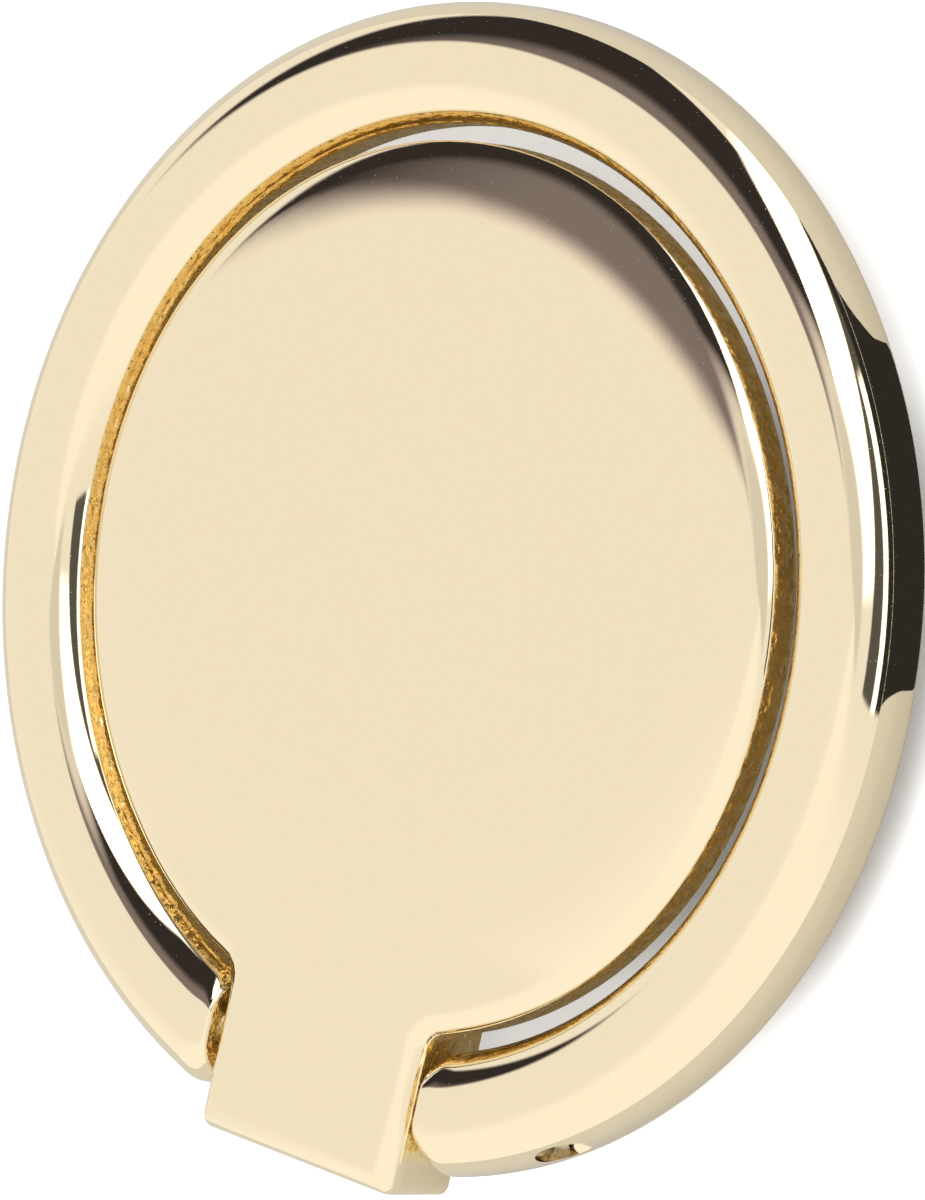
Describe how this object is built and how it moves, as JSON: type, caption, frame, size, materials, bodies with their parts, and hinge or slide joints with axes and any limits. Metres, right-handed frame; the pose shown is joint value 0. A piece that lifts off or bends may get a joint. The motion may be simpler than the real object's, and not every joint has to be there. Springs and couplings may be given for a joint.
{
  "type": "phone ring holder",
  "caption": "Round plated disc with a hinge tab, an open finger ring that flips on a pin through the tab, and a riveted swivel plate with an adhesive pad behind.",
  "frame": {"origin": "centre of the disc on the back face of the adhesive pad", "axes": "+Z out of the front of the disc, -Y towards the hinge tab, X along the hinge"},
  "size_m": [0.04, 0.0403, 0.0046],
  "materials": {
    "gold_plating": "mirror-polished pale gold plating on die-cast zinc alloy",
    "steel": "bright drawn steel",
    "plate_steel": "nickel-plated pressed steel",
    "washer_nylon": "natural nylon",
    "pad_foam": "black acrylic foam tape"
  },
  "bodies": {
    "mount": {"swivel_plate": "plate_steel", "adhesive_pad": "pad_foam"},
    "base": {"base_disc": "gold_plating", "swivel_rivet": "steel", "spring_washer": "steel", "thrust_washer": "washer_nylon"},
    "ring": {"finger_ring": "gold_plating", "hinge_pin": "steel"}
  },
  "joints": [
    {"name": "swivel", "type": "hinge", "parent": "mount", "child": "base", "pos_m": [0, 0, 0], "axis": [0, 0, 1], "continuous": true},
    {"name": "ring_flip", "type": "hinge", "parent": "base", "child": "ring", "pos_m": [0, -0.01685, 0.00317], "axis": [1, 0, 0], "range_deg": [0, 180]}
  ]
}
